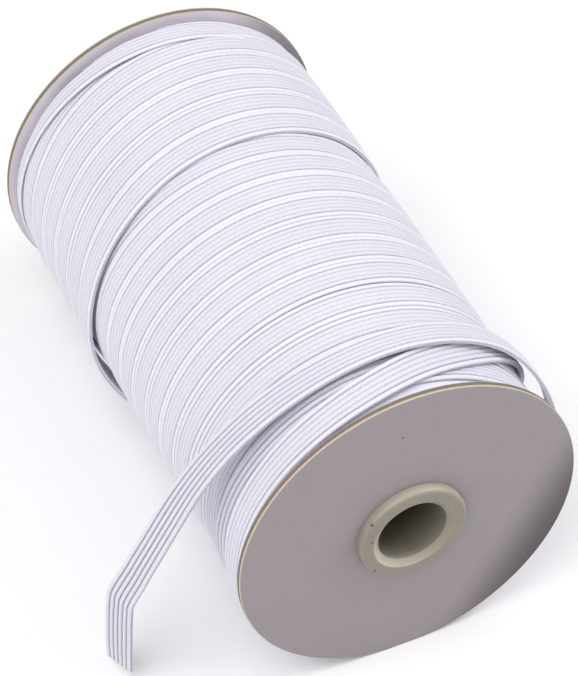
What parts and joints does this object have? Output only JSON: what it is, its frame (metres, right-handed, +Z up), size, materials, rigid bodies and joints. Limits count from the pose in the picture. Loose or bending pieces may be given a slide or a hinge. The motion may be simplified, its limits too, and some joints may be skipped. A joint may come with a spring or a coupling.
{
  "type": "roll of elastic",
  "caption": "Roll of white ribbed elastic tape wound on a bored plastic core between round card discs, lying on its side with its loose end over the top.",
  "frame": {"origin": "on the floor under the middle of the spool, where the disc rims rest", "axes": "+Y along the spool's axis from the near disc to the far one, +Z up, +X to the right seen from the near disc"},
  "size_m": [0.0818, 0.1104, 0.0635],
  "materials": {
    "card": "matt pale paper on brown board",
    "plastic": "moulded cream plastic, dull",
    "elastic": "braided, ribbed, matt white"
  },
  "bodies": {
    "root": {"front_disc": "card", "back_disc": "card", "front_core": "plastic", "back_core": "plastic", "winding": "elastic", "loose_end": "elastic"}
  },
  "joints": []
}
